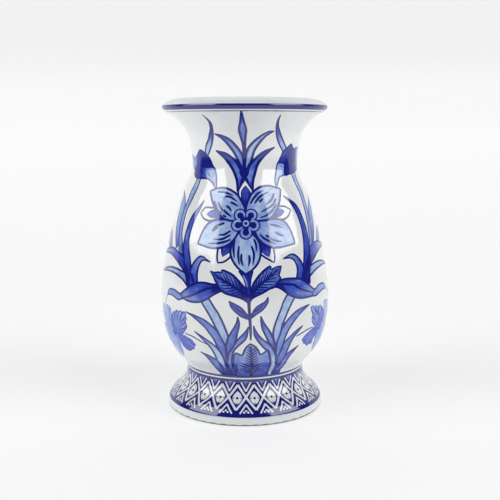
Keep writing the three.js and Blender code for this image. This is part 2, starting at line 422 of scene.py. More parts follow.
def flower():
    """The large blossom: back sepals, five petals and a ringed middle with five lobes."""
    sepals()
    tones = [
        (0.24, 0.1, 0.02), (0.22, 0.1, 0.03), (0.22, 0.08, 0.03), (0.24, 0.14, 0.08), (0.16, 0.11, 0.07),
    ]
    for edges, tone in zip(flower_petals(), tones):
        leaf(*edges, tone, line=0.62, ends=(0.9, 0.9))
    dashes(PETAL_MARKS)
    middle = np.array(FLOWER_MIDDLE)
    lobes = [
        (-2.9, 140.6, 4.0), (4.7, 140.6, 4.0), (-4.5, 134.4, 4.1), (6.2, 134.3, 4.1), (1.0, 129.7, 4.1),
    ]
    for x, s, radius in lobes:
        disc((x, s), radius, LINE)
    disc(middle, 4.6, LINE)
    for x, s, radius in lobes:
        disc((x, s), radius - 0.85, WASH, (0.22,))
    for x, s, radius in lobes:
        inward = middle - (x, s)
        inward /= np.hypot(*inward)
        heart = np.array([x, s]) + 0.35 * inward
        disc(heart, radius - 2.05, LINE)
        stroke([heart, heart + 3.6 * inward], 1.3, 0.95, 0.95)
    disc(middle, 2.6, LINE)
    disc(middle, 1.95, WASH, (0.2,))
    disc(middle, 1.05, LINE)


def flower_stem():
    """The stem below the blossom, its two toothed leaves and its two small ones."""
    leaf([(-3.2, 107), (0.2, 101), (3.4, 64.5)],
         [(5, 107), (3.6, 101.5), (3.2, 90), (3, 86.5), (3.9, 70.7), (3.8, 64.5)],
         (0.9, 0.75, 0.8, 0.7, 0.6, 0.6), line=0.45)
    stroke([(-0.6, 104.4), (0.9, 101), (1.7, 97.4)], 0.5, 0.8, 0.5, WASH, (0.3,))
    for edge_a, edge_b in (
        ([(2.4, 79.8), (0.4, 82.3), (-1.8, 84.9), (-5.4, 87.3), (-8.4, 88.9)],
         [(2.4, 77.8), (-0.4, 79), (-2.9, 80.6), (-5.6, 83.2), (-7.6, 86), (-8.4, 88.9)]),
        ([(3, 79), (4.6, 82.1), (6, 84.5), (8.5, 86.6), (11.3, 88.3), (13.1, 91.2)],
         [(3, 77.8), (6.8, 81.1), (9.6, 83.1), (11.9, 85.8), (13.2, 88.5), (13.1, 91.2)]),
    ):
        leaf(edge_a, edge_b, (0.9, 0.65, 0.55, 0.65, 0.85), line=0.45)
        stroke([edge_a[1], (np.array(edge_a[2]) + edge_b[2]) / 2, (np.array(edge_a[3]) + edge_b[4]) / 2],
               0.5, 0.8, 0.2)
    upper_left = [
        (2.3, 91), (0.5, 96.4), (-1.6, 99), (-4, 101.9), (-6.5, 104.4), (-9.7, 106.2), (-13.1, 107.2),
    ]
    upper_right = [
        (2.8, 90), (4.1, 94.4), (4.7, 98.3), (6.9, 102.1), (10.2, 105.9), (13.2, 108.4), (15.4, 109.5),
    ]
    left = (upper_left + [(-12.8, 105.6), (-15.1, 106), (-17.4, 105.6), (-19.9, 106.3)],
            [(2, 88), (-0.9, 90.3), (-3.9, 91.5), (-6.9, 92.4), (-9.9, 93.3), (-13, 95.1), (-14.9, 97.9),
             (-16.4, 100.4), (-17.5, 102.6), (-19.9, 106.3)])
    right = (upper_right + [(15.4, 107.4), (18.5, 108.7), (22.1, 109.1)],
             [(2.9, 88.3), (4.3, 90.5), (7.3, 92.4), (10.3, 93.9), (14.1, 96), (17.3, 97.1), (18.7, 99.2),
              (21.2, 101.8), (20.1, 103.4), (21, 105.9), (22.1, 109.1)])
    ribs = ([(2, 90.6), (-1, 94.5), (-5.1, 97), (-10.1, 100.1), (-16.6, 103.6)],
            [(3.4, 91), (6.8, 96.6), (19.1, 106.7)])
    for edges, rib in ((left, ribs[0]), (right, ribs[1])):
        leaf(*edges, (0.9, 0.64, 0.46, 0.46, 0.62), line=0.66)
        veins(rib, edges, 9, half=0.38)


POD_STALKS = [
    ([(-10.6, 60), (-14.5, 68.4), (-19.5, 79.3), (-25.5, 88.5)],
     [(-10.2, 60), (-9, 65.8), (-14.1, 80.4), (-17.1, 85.1), (-20.5, 90.5)]),
    ([(18.4, 58.5), (17.7, 62), (16.6, 65.5), (16.3, 69.3), (17.3, 74.4), (20.8, 83.9), (22.3, 87.8),
      (25.5, 93)],
     [(18.7, 58.5), (19.1, 62.7), (20.4, 66.6), (21.9, 73.9), (26.9, 85.4), (30.5, 90.5)]),
]
LEFT_POD = (
    [(-13, 94.6), (-16.9, 92.4), (-21.1, 89.3), (-24.6, 87.4), (-29.3, 86.4), (-33.8, 86.6), (-37.9, 87.5),
     (-41.7, 86.1), (-45.4, 87.2), (-49.7, 88), (-54, 87.1)],
    [(-12.6, 98.8), (-18, 98.4), (-23.1, 99), (-29, 98), (-36.1, 93.3), (-40.7, 90), (-44.3, 91.2),
     (-48.8, 91.6), (-52.3, 90.6), (-54, 87.5)],
)
RIGHT_POD = (
    [(16.5, 97), (19, 96.5), (21.8, 94.8), (25.6, 91.5), (29.2, 89.6), (34.1, 88.3), (43.2, 88.1),
     (47.4, 87.8), (51.6, 89.1), (56.8, 90.1), (61.5, 89.8)],
    [(16.5, 100), (19.7, 100.3), (23.7, 101.2), (34, 100.1), (38.1, 97.9), (46.2, 91.9), (50.4, 93.7),
     (55.7, 94.1), (59, 92.8), (61.5, 90.2)],
)


def pods():
    """The two long seed pods, whose tails curl on and hang down to the side blossoms."""
    stroke([(-53.8, 87.9), (-57.3, 80.9)], 0.35, 0.8, 0.7, WASH, (0.8, 0.7))
    stroke([(61.5, 89.8), (66, 86.6), (69, 81.5)], 0.35, 0.8, 0.7, WASH, (0.8, 0.7))
    leaf(*LEFT_POD, (0.95, 0.62, 0.5, 0.4, 0.4, 0.35), line=0.58, side=-0.06, ends=(0.9, 0.7))
    leaf(*RIGHT_POD, (0.95, 0.6, 0.5, 0.38, 0.3, 0.2), line=0.58, side=-0.06, ends=(0.9, 0.7))
    stroke([(-13.5, 96.8), (-17.8, 96.3), (-22.8, 94.9), (-26.8, 92.6), (-32, 90), (-37.9, 88)],
           0.7, 1.0, 0.5)
    stroke([(18, 98.6), (29.6, 96.9), (33.3, 94.3), (43.4, 90.4)], 0.7, 1.0, 0.5)
    stroke([(-38, 88), (-40.8, 90.2)], 0.55, 0.9, 0.8)
    stroke([(43, 88.2), (44.4, 90.2), (46.2, 91.8)], 0.55, 0.9, 0.8)
    stroke([(-12.2, 97.8), (-15.4, 96.6), (-18.2, 94)], 1.7, 1.0, 0.2)
    stroke([(16.8, 98.6), (19.6, 97.4), (23.4, 94.6)], 1.4, 1.0, 0.2)


def blades(outlines):
    """Blades with thin outlines, each given as its two edges and its tones from base to tip."""
    for edge_a, edge_b, tones in outlines:
        leaf(edge_a, edge_b, tones, line=0.56, ends=(0.9, 0.6))


def side_leaves():
    """The sheaves of blades that rise on each side, and the stalks of the buds."""
    left = [
        ([(-59.8, 115), (-64.5, 119.3), (-69, 124.8), (-76, 129.4)],
         [(-55.7, 115), (-64, 126), (-76, 129.8)], (0.45, 0.3, 0.2, 0.3)),
        ([(-50.5, 116.8), (-57.7, 131.2), (-59.3, 138.5), (-60.4, 145), (-60.6, 150), (-63.8, 154)],
         [(-47.8, 119), (-52.3, 133.2), (-52.5, 139.1), (-52.3, 144.6), (-56.2, 149.3), (-63.8, 154)],
         (0.7, 0.4, 0.3, 0.3, 0.5)),
        ([(-47.8, 163.5), (-48.9, 155.9), (-49.9, 148.3), (-52.2, 140.7), (-51.8, 132.3), (-49.6, 123.7),
          (-46.4, 115)],
         [(-43.1, 163.5), (-42.8, 155.2), (-45.2, 147.6), (-47.9, 141), (-47.2, 127.3), (-44.4, 120.9),
          (-41.8, 113)], (0.15, 0.2, 0.3, 0.35, 0.5)),
        ([(-34.5, 101), (-42.2, 106.8), (-48.1, 110.3), (-56.7, 113), (-74.8, 111.4)],
         [(-37, 107.4), (-41.4, 113.1), (-47.6, 115.2), (-53.3, 116.9), (-63.3, 115.4), (-74.8, 111.6)],
         (0.9, 0.7, 0.5, 0.2, 0.3)),
        ([(-29, 93), (-34, 95), (-39, 99), (-46, 101.6), (-55.5, 102.2), (-67.5, 100.2)],
         [(-28, 99), (-33.5, 102), (-47, 105), (-56.5, 104.3), (-67.5, 100.6)],
         (0.4, 0.25, 0.14, 0.14, 0.3)),
        ([(-34.4, 94), (-40.6, 112.7), (-42.9, 119.6), (-42.1, 132.2), (-40.2, 138.2), (-31.3, 149.1)],
         [(-30, 94), (-32, 101), (-33.9, 108.8), (-37.9, 120.6), (-38.6, 126.3), (-36.7, 137), (-34, 142.4),
          (-31.3, 149.1)], (0.85, 0.75, 0.6, 0.45, 0.6, 0.95)),
        ([(-33, 92), (-33.8, 99), (-33.6, 106.2), (-31, 111.4), (-27, 114.7), (-20.4, 111.6)],
         [(-26.6, 92), (-28.4, 104.2), (-27.8, 108.8), (-25.4, 112.4), (-20.4, 111.6)],
         (0.8, 0.7, 0.5, 0.35, 0.4)),
    ]
    right = [
        ([(59.5, 117), (64, 121), (69, 126), (75, 129.4)],
         [(55.5, 117.5), (64.5, 127.5), (75, 129.8)], (0.45, 0.3, 0.2, 0.3)),
        ([(50.5, 117.4), (58.5, 129.4), (64.5, 140.4), (71.5, 151.4)],
         [(48, 118.4), (53.5, 130.4), (58.5, 142.4), (71.5, 151.4)], (0.7, 0.45, 0.3, 0.3)),
        ([(49.9, 166), (51.5, 142.4), (50.3, 131.4), (46.7, 118)],
         [(57, 166), (56.1, 155.4), (55.7, 142.4), (54.3, 131.4), (50.3, 118)], (0.15, 0.2, 0.3, 0.45)),
        ([(37, 102), (43, 106.8), (48.5, 110), (54.5, 113.6), (62.5, 116), (74, 116.2)],
         [(40.5, 109.4), (45.5, 117), (52, 119.9), (59.5, 120.6), (74, 116.6)],
         (0.95, 0.8, 0.55, 0.2, 0.3)),
        ([(36, 95.5), (46.5, 102.6), (60.5, 105.4), (70.5, 104)],
         [(32, 99), (38.5, 104.2), (45, 107), (53, 108.4), (61.5, 107.6), (70.5, 104.4)],
         (0.4, 0.25, 0.14, 0.14, 0.3)),
        ([(35, 96), (36.6, 102.4), (40, 114.4), (42.2, 126.4), (41.6, 136.4), (37.8, 145.4), (31, 152)],
         [(42, 96), (43, 102.4), (47.3, 126.4), (46.3, 136), (42, 145.4), (31, 152)],
         (0.95, 0.8, 0.6, 0.6, 0.75, 0.95)),
        ([(30.5, 96), (31.5, 100), (33, 106.2), (32, 110.8), (29, 113.4), (23.6, 113.4)],
         [(37.4, 96), (37.6, 108), (35, 112.8), (30.5, 115.6), (23.6, 113.4)], (0.85, 0.6, 0.5, 0.35, 0.4)),
    ]
    blades(left + right)
    stroke([(-34.4, 98), (-37, 104.4), (-40.2, 110.8)], 1.5, 0.8, 0.1)
    stroke([(38, 102), (41.4, 107.4), (44.8, 114)], 1.7, 0.8, 0.1)
    stroke([(-30.6, 98.6), (-33.2, 104)], 1.0, 0.8, 0.2)
    stroke([(36.4, 99.4), (37.6, 105.4)], 1.1, 0.8, 0.2)


def grass():
    """The tuft of blades that grows from the foot line, with the pods' stalks among them."""
    back = [
        ([(-13.2, 32.6), (-12.6, 48.2), (-13.6, 53.7), (-15.7, 58.5), (-17.5, 64.1), (-20.6, 68.8),
          (-22.9, 71.8), (-30.8, 77.5), (-35.7, 79.6)],
         [(-9, 32.6), (-10.6, 42), (-11.2, 52.3), (-11, 59.3), (-14.5, 68.4), (-16.2, 70.9), (-22.1, 75.8),
          (-26.3, 77.5), (-35.7, 79.6)],
         (0.85, 0.6, 0.5, 0.45, 0.4, 0.5, 0.9)),
        ([(20, 50), (18.9, 60.5), (19.7, 64.9), (20.6, 68.8), (24.1, 74.9), (27.3, 78.3), (31.1, 81),
          (35.7, 82.5), (40.7, 83.4)],
         [(21, 50), (24.7, 67), (26.4, 70.7), (32.3, 77.9), (40.7, 83.4)],
         (0.5, 0.4, 0.32, 0.35, 0.4, 0.55, 0.9)),
        ([(-13, 40), (-12.7, 47.6), (-13.6, 53.2), (-15.6, 57.5), (-18.2, 60.5), (-25.4, 65.5),
          (-30.1, 68)],
         [(-15.6, 40), (-17.5, 47.6), (-18.4, 53.2), (-19.9, 57.5), (-25, 63.6), (-30.1, 68)],
         (0.2, 0.06, 0.04, 0.08, 0.5, 1.0)),
        ([(20.5, 32.6), (21.9, 44.3), (21.3, 51.1), (22.5, 56.6), (23.6, 60.8), (29.5, 66.9), (33, 69.3),
          (36, 70.6)],
         [(25, 32.6), (26.1, 44.1), (26.8, 53.9), (29.1, 62.5), (30.6, 64.7), (36, 70.6)],
         (0.85, 0.6, 0.5, 0.45, 0.5, 0.9)),
        ([(-12.5, 32.6), (-17.6, 48.2), (-20.2, 50.7), (-24, 52.6), (-28.3, 53.9)],
         [(-17.7, 32.6), (-20.5, 37.5), (-21.5, 43), (-25.6, 52), (-28.3, 53.9)],
         (0.9, 0.65, 0.35, 0.6, 0.95)),
        ([(23.6, 32.6), (24.6, 36.7), (25, 44.3), (26.1, 49.7), (28, 53.2), (35.1, 57.5)],
         [(29.2, 32.6), (30, 48.9), (32.4, 53.9), (35.1, 57.5)], (0.8, 0.5, 0.45, 0.6, 0.95)),
    ]
    front = [
        ([(-10.8, 48), (-10.4, 61.7), (-7.7, 68.9), (-6, 71.9), (-4.3, 75.8), (-3.6, 79.6)],
         [(-7.5, 48), (-6.8, 58), (-5, 63.4), (-4.1, 68), (-2.7, 75.2), (-3.6, 79.6)],
         (0.65, 0.6, 0.5, 0.45, 0.6, 0.95)),
        ([(-12, 32.6), (-12.3, 42.2), (-10.5, 50.7), (-9.3, 55.1), (-7.5, 58.1), (-3.8, 64.7), (0.9, 70.6),
          (2.3, 73.3)],
         [(-7, 32.6), (-8, 46.7), (-6.4, 56.7), (-3.9, 60.2), (1, 65.8), (2.3, 73.3)],
         (0.75, 0.5, 0.38, 0.36, 0.3, 0.5, 0.9)),
        ([(17.8, 54), (17.5, 57.8), (14.2, 62.3), (11.9, 67.4), (10, 71.7), (9.1, 76.2), (9, 79.7)],
         [(18.8, 54), (18.3, 58.8), (15.1, 68), (10.8, 75.5), (9, 79.7)],
         (0.55, 0.45, 0.38, 0.4, 0.6, 0.95)),
        ([(18.4, 32.6), (17.5, 45.7), (16, 51.9), (14.3, 56.7), (12.5, 57.8), (5.8, 67.3), (5, 73.8)],
         [(22.6, 32.6), (22.5, 41.3), (20.6, 48.3), (18.9, 54.1), (14.3, 61.4), (11.3, 63.9), (8.3, 67.3),
          (6.3, 70.6), (5, 73.8)], (0.0, 0.02, 0.12, 0.3, 0.5, 0.95)),
    ]
    stroke([(-37.4, 65.3), (-31.6, 64.1), (-26.5, 61.9), (-22.4, 60.3)], 0.42, 0.8, 0.6)
    stroke([(31.7, 64.3), (40.4, 67.2), (45.8, 67.9)], 0.42, 0.8, 0.6)
    blades(back)
    for edges in POD_STALKS:
        leaf(*edges, (0.2, 0.1, 0.1, 0.14), line=0.58, ends=(0.8, 0.9))
    blades(front)
    stroke([(22.6, 75.8), (21.4, 70.6)], 0.9, 0.5, 0.4)
    stroke([(21.4, 41.2), (23.4, 42.6), (25.2, 43.2)], 0.9, 0.8, 0.3)
    stroke([(-14.4, 32.6), (-14.8, 39), (-15.8, 43.6)], 1.7, 0.9, 0.1, WASH, (0.95, 0.8))
    stroke([(-10.6, 32.6), (-11.2, 47)], 1.5, 0.9, 0.1, WASH, (0.95, 0.85))
    stroke([(23.4, 32.6), (23.6, 45)], 1.5, 0.9, 0.1, WASH, (0.9, 0.8))


def trefoil():
    """The three-lobed leaf at the front of the tuft."""
    sides = [
        [(-6.8, 33), (-7.4, 39.4), (-6.4, 52.7), (-5.2, 55.8)],
        [(-5.2, 55.8), (-1.3, 53.6)],
        [(-1.3, 53.6), (0.9, 59.5), (3.3, 62.2)],
        [(3.3, 62.2), (6.1, 60.1), (8.2, 57.1), (9.6, 54)],
        [(9.6, 54), (11.5, 55.2), (13.6, 57.5)],
        [(13.6, 57.5), (16.6, 48.9), (17.7, 42.2), (18.1, 33)],
    ]
    rib = [(5.3, 33.2), (5, 42.8), (3.7, 60.6)]
    spine = even(smooth(rib), FINE)
    ring = np.vstack([smooth(side) for side in sides])
    lay(ring, WASH, spine, np.full(len(spine), 12), (0.6, 0.5, 0.36, 0.3, 0.26))
    for side in sides:
        stroke(side, 0.55, 0.9, 0.8)
    for k in range(8):
        s = 43.6 + 2.0 * k
        for way in (-1, 1):
            reach = 4.8 - 0.3 * k
            stroke([(4.8, s), (4.7 + way * reach * 0.5, s + 1.2), (4.6 + way * reach, s + 2.8)],
                   0.46, 1.0, 0.25)
    for k in range(4):
        s = 35.2 + 2.4 * k
        for way in (-1, 1):
            stroke([(5.2, s), (5.2 + way * 3.6, s + 2.8), (5.2 + way * (9.4 - 0.5 * k), s + 5.0)],
                   0.62, 1.0, 0.2)
    stroke([(-6.4, 36), (-5.4, 41), (-5.6, 46)], 0.9, 0.9, 0.2, WASH, (0.95, 0.8))
    stroke(rib, 0.95, 1.0, 0.5)


def ruffled_petal(rim, heart, tones, ticks=9, depth=0.36, line=0.5):
    """A petal of a side blossom: its rim goes all the way round, and fine lines run in from it."""
    edge = even(smooth(rim + rim[:1]), FINE)[:-1]
    heart = np.array(heart, float)
    far = edge[np.hypot(*(edge - heart).T).argmax()]
    spine = np.linspace(heart, far, 12)
    lay(edge, WASH, spine, np.full(12, np.hypot(*(far - heart)) * 0.6), tones)
    if line:
        stroke(rim + rim[:1], line, 1.0, 1.0, WASH, (0.72, 0.62, 0.72))
    for k in range(ticks):
        foot = edge[int((0.16 + 0.68 * k / (ticks - 1)) * (len(edge) - 1))]
        end = foot + depth * (heart - foot)
        swerve = np.array([heart[1] - foot[1], foot[0] - heart[0]]) * 0.05 * (-1) ** k
        stroke([foot, (foot + end) / 2 + swerve, end], 0.36, 1.0, 0.3, WASH, (0.8, 0.6))


def side_blossoms():
    """The ruffled blossom on each side, five petals round a small heart."""
    far = (0.36, 0.22, 0.1)
    near = (0.55, 0.36, 0.2)
    low = (0.6, 0.5, 0.5)
    leaf([(-50, 50), (-58, 53), (-62, 62), (-58, 72), (-50, 77)],
         [(-50, 50), (-44, 58), (-41, 64), (-43, 72), (-50, 77)], (0.3, 0.25), line=0)
    leaf([(56, 52), (64, 56), (67, 64), (57, 78)], [(56, 52), (50, 60), (48, 66), (50, 73), (57, 78)],
         (0.3, 0.25), line=0)
    ruffled_petal([(-50, 65), (-51.6, 68.8), (-51.7, 72.1), (-49.9, 75.9), (-49.2, 78.5), (-52.3, 80.3),
                   (-57.5, 80.4), (-62, 80), (-64, 76.5), (-62, 71), (-56, 65)], (-52, 65), far, line=0)
    ruffled_petal([(-55, 63), (-60, 66), (-66, 66.5), (-70, 62), (-68.5, 56), (-63, 53.5), (-57.8, 57)],
                  (-55, 62), far, line=0)
    ruffled_petal([(-56.6, 61.9), (-56.4, 57), (-58, 50), (-57.2, 45.6), (-50.7, 44.8), (-46.1, 47.9),
                   (-44.6, 53.5), (-44.9, 60), (-46.7, 64.8)], (-50, 63), far, line=0)
    ruffled_petal([(-44.6, 62.7), (-43.8, 59.3), (-42.7, 55.9), (-40.2, 53.2), (-36.9, 52.7), (-34, 54.6),
                   (-32.1, 55.5), (-31.6, 57.3), (-30.4, 58.1), (-32.2, 60.9), (-36.3, 63.2),
                   (-41.2, 63.5)], (-43.4, 62), low, 11)
    ruffled_petal([(-43.9, 62.9), (-47.4, 64.7), (-50.1, 68.3), (-50.1, 71.7), (-48, 75.5), (-46.6, 77.6),
                   (-45, 77.4), (-44, 79.1), (-42, 78.3), (-39.6, 79.4), (-38.4, 78.5), (-36.9, 79.3),
                   (-35.5, 77.9), (-36.2, 76.6), (-35.2, 75.3), (-36.4, 73.3), (-35.3, 70.5), (-37, 67.8),
                   (-39.1, 65.2), (-41.2, 63.5)], (-45.5, 65), near, 17, 0.5, 0.42)
    ruffled_petal([(57, 66.8), (58.4, 71.7), (59.2, 76.9), (57.8, 82.6), (63.1, 82.3), (68, 80), (71, 76.5),
                   (70, 72), (64.7, 69.2)], (57.8, 68), far, line=0)
    ruffled_petal([(59, 64), (65, 66), (70.5, 63.5), (72, 58), (69, 53), (64, 53.5), (60.5, 58)],
                  (58, 64), far, line=0)
    ruffled_petal([(52.7, 65.8), (51.7, 61.8), (50.5, 57.3), (52.4, 50.6), (57.5, 47.2), (61.9, 48.4),
                   (62.6, 54.5), (61, 60.3), (57, 65)], (55, 65), far, line=0)
    ruffled_petal([(51.9, 65.5), (50.6, 62.1), (47.8, 59), (47.8, 56), (45.3, 56.6), (43.1, 55.6),
                   (41, 57.6), (39.1, 58.1), (38.4, 60), (37.2, 60.5), (38.4, 62.6), (42.7, 65.4),
                   (47.2, 67.1)], (50, 65.6), low, 11)
    ruffled_petal([(51.4, 66.8), (56.2, 67.7), (58.8, 70.7), (59, 74.7), (54.7, 79.3), (51.7, 81),
                   (49.6, 80.4), (47.5, 81.6), (45.2, 81.2), (43.2, 82.3), (41.7, 80.8), (42.2, 78.9),
                   (43.6, 76.3), (43, 73.8), (44.4, 70.4), (47, 67.8)], (51, 67.6), near, 15, 0.5, 0.42)
    stroke([(46.2, 79.3), (50.4, 75.8), (53, 71.6), (51.4, 68)], 0.5, 0.5, 0.6)
    for x, s in ((-48.4, 63.6), (54, 66)):
        disc((x, s), 2.2, WASH, (0.7,))


def rim_bands():
    """The broad band on the lip and the thin line under it."""
    band(209.4, 210.7, LINE)
    band(212.0, 215.6, LINE)


def lattice():
    """The woven diamond border on the foot, with a flower in each diamond."""
    pitch = TURN / DIAMONDS
    start = -PANEL / 2 + 1.1  # the photo shows a diamond 1.1 mm right of the panel's even places
    low, middle, high = 10.7, 19.7, 27.3
    heart = 18.9
    petals = [(0, 4.6), (-2.3, 2.8), (-3.8, 0), (-2.3, -2.8), (0, -4.6), (2.3, -2.8), (3.8, 0), (2.3, 2.8)]
    band(6.0, 30.9, LINE)
    band(31.9, 33.5, LINE)
    for k in range(DIAMONDS // 2):
        x = start + (k + 0.5) * pitch
        tilt = 0.25 * math.sin(5.1 * k)  # the hand never centres two flowers alike
        between = x + pitch / 2
        for side in (-1, 1):
            crossing = (x + side * pitch / 2, middle)
            stroke([crossing, (x, high)], 0.68, 1, 1, GLAZE)
            stroke([crossing, (x, low)], 0.68, 1, 1, GLAZE)
            stroke([(between - side * 0.1, 23.2), (between + side * 3.9, 29)], 0.5, 1, 1, GLAZE)
            stroke([(between - side * 0.1, 14.6), (between + side * 4.0, 8.4)], 0.52, 1, 1, GLAZE)
        lay([(x + tilt + dx, heart + ds) for dx, ds in petals], GLAZE)
        for dx, ds in ((-3.6, 0), (3.6, 0), (0, -4.4)):
            stroke([(x + tilt + dx, heart + ds), (x + tilt + dx * 0.6, heart + ds * 0.7)], 0.28, 1, 0.5)
        disc((x + tilt, heart), 0.85, LINE)
        lay([(between - 1.9, 29.6), (between, 25.9), (between + 1.9, 29.6)], WASH, tones=(0.45,))
        for dx, ds in ((-1.3, 9.2), (0, 10.2), (1.3, 9.2)):
            disc((between + dx, ds), 0.68, GLAZE)


def paint():
    """Every shape of the panel, in the order of painting."""
    # The bare clay line at the foot's edge; its dark brown is partly painted contact shadow.
    band(S_FOOT - 0.5, S_FOOT + 0.35, CLAY, wobble=0.18, turns=23)
    grass()
    trefoil()
    side_leaves()
    pods()  # over the feet of the side leaves
    side_blossoms()
    flower_stem()
    neck_leaves()
    bud_curls()
    left_bud()
    right_bud()
    flower()
    rim_bands()
    lattice()


# ---------------------------------------------------------------- cutting the drawing into facets
GRID_COLUMNS = 70  # across one panel
ROW = 1.9  # height of a row of facets, mm
FINE_ROW = 0.9  # the same where the outline bends sharply
GRAIN_STEP = 17.3  # how far apart two shapes take their streaks from, so that no two match
GRAIN_SHAPES = 29
BACK_GRAIN = 400  # the same for the back panel
MERGE = 1e-5  # points of the drawing nearer than this are one, mm


def row_heights():
    """Rows of the underlying grid, closer together where the outline bends."""
    rows = [S_FOOT]
    while rows[-1] < S_CREST:
        height = np.interp(rows[-1], outside_run, outside[:, 1])
        tight = height < WAIST[1] + 6 or height > CREST[1] - 14
        rows.append(rows[-1] + (FINE_ROW if tight else ROW))
    rows[-1] = S_CREST
    for joint in JOINTS:
        nearest = int(np.argmin(np.abs(np.array(rows) - joint)))
        rows[nearest] = joint
    return rows


def partition():
    """Triangles of one panel, each with the topmost shape it lies in."""
    rows = row_heights()
    xs = np.linspace(-PANEL / 2, PANEL / 2, GRID_COLUMNS + 1)
    points = []
    edges = []
    rails = {0: [], GRID_COLUMNS: []}  # the two straight sides of the panel
    levels = {r: [] for r, s in enumerate(rows) if s in JOINTS or r in (0, len(rows) - 1)}
    for r, s in enumerate(rows):
        shift = (xs[1] - xs[0]) / 2 if r % 2 and r not in levels else 0
        for c, x in enumerate(xs):
            on_rail = c in rails
            if shift and c == GRID_COLUMNS - 1:
                continue
            if on_rail:
                rails[c].append(len(points))
            if r in levels:
                levels[r].append(len(points))
            points.append((x if on_rail else x + shift, s))
    for chain in list(rails.values()) + list(levels.values()):
        edges += list(zip(chain, chain[1:]))
    faces = []
    owners = []
    for k, shape in enumerate(painted):
        ring = shape["ring"]
        ring[:, 1] = np.clip(ring[:, 1], S_FOOT - 1, S_CREST + 1)
        for shift in (-PANEL, 0, PANEL):
            moved = ring + (shift, 0)
            if shift and (moved[:, 0].max() < -PANEL / 2 or moved[:, 0].min() > PANEL / 2):
                continue
            if shift and shape["ink"] == CLAY:
                continue
            if shift and np.ptp(ring[:, 0]) > PANEL:
                continue
            first = len(points)
            points += [tuple(p) for p in moved]
            faces.append(list(range(first, len(points))))
            owners.append((k, shift))
    result = delaunay_2d_cdt([Vector(p) for p in points], edges, faces, 0, MERGE, True)
    where = np.array([tuple(v) for v in result[0]])
    triangles = np.array([f for f in result[2]])
    top = np.array([max(f) if f else -1 for f in result[5]])
    middle = where[triangles].mean(axis=1)
    inside = (
        (np.abs(middle[:, 0]) < PANEL / 2)
        & (middle[:, 1] > S_FOOT)
        & (middle[:, 1] < S_CREST)
    )
    return where, triangles[inside], top[inside], middle[inside], owners


def brush_values(places, shape, shift):
    """Distance along the brush stroke, place across it from -1 to 1, and tone, for points in it."""
    spine = shape["spine"] + (shift, 0)
    run = run_along(spine)
    gap = np.hypot(places[:, None, 0] - spine[None, :, 0], places[:, None, 1] - spine[None, :, 1])
    near = gap.argmin(axis=1)
    direction = np.gradient(spine, axis=0)
    direction /= np.maximum(np.hypot(*direction.T), 1e-9)[:, None]
    delta = places - spine[near]
    across = direction[near, 0] * delta[:, 1] - direction[near, 1] * delta[:, 0]
    across = np.clip(across / shape["half"][near], -1, 1)
    share = run[near] / run[-1]
    tones = shape["tones"]
    tone = np.interp(share, np.linspace(0, 1, len(tones)), tones) + shape["side"] * across
    return np.column_stack([run[near], across, tone])


def painted_surfaces():
    """Meshes of every section and ink, as name -> (points, triangles, corner values)."""
    where, triangles, top, middle, owners = partition()
    section = np.searchsorted(JOINTS, middle[:, 1])
    ink_of = np.array([painted[owners[t][0]]["ink"] if t >= 0 else GLAZE for t in top])
    values = np.zeros((len(triangles), 3, 3))
    for t in set(top[top >= 0]):
        mine = np.nonzero(top == t)[0]
        shape = painted[owners[t][0]]
        if shape["ink"] in (GLAZE, CLAY):
            continue
        flat = brush_values(where[triangles[mine]].reshape(-1, 2), shape, owners[t][1])
        flat[:, 0] += GRAIN_STEP * (owners[t][0] % GRAIN_SHAPES)
        values[mine] = flat.reshape(-1, 3, 3)
    meshes = {}
    for k, name in enumerate(SECTIONS):
        for ink in (GLAZE, LINE, WASH, CLAY):
            mine = np.nonzero((section == k) & (ink_of == ink))[0]
            if len(mine):
                meshes[name, ink] = (where, triangles[mine], values[mine])
    return meshes


def painted_object(name, where, triangles, values, material):
    """One piece of surface, on both panels, with the pot's own normals."""
    both = []
    for shift in (0, PANEL):
        both.append(where[triangles] + (shift, 0))
    corners = np.concatenate(both).reshape(-1, 2)
    # Corners on the same thousandth of a millimetre share one point, also across the seam.
    keys = np.round(np.column_stack([np.mod(corners[:, 0] + 1e-4, TURN), corners[:, 1]]), 3)
    _, first, back = np.unique(keys, axis=0, return_index=True, return_inverse=True)
    back = back.reshape(-1, 3)
    good = (back[:, 0] != back[:, 1]) & (back[:, 1] != back[:, 2]) & (back[:, 2] != back[:, 0])
    place, normal = on_wall(corners[first, 0], corners[first, 1])
    mesh = bpy.data.meshes.new(name)
    mesh.from_pydata(place.tolist(), [], back[good].tolist())
    mesh.shade_smooth()
    mesh.normals_split_custom_set_from_vertices(normal.tolist())
    brush = mesh.attributes.new("brush", "FLOAT_VECTOR", "CORNER")
    all_values = np.concatenate([values, values])[good]
    all_values[len(all_values) // 2 :, :, 0] += BACK_GRAIN
    brush.data.foreach_set("vector", all_values.reshape(-1).astype(np.float32))
    mesh.materials.append(material)
    piece = bpy.data.objects.new(name, mesh)
    bpy.context.scene.collection.objects.link(piece)
    return piece


# ---------------------------------------------------------------- insides, joints and standing ring
RING_SEGMENTS = 144


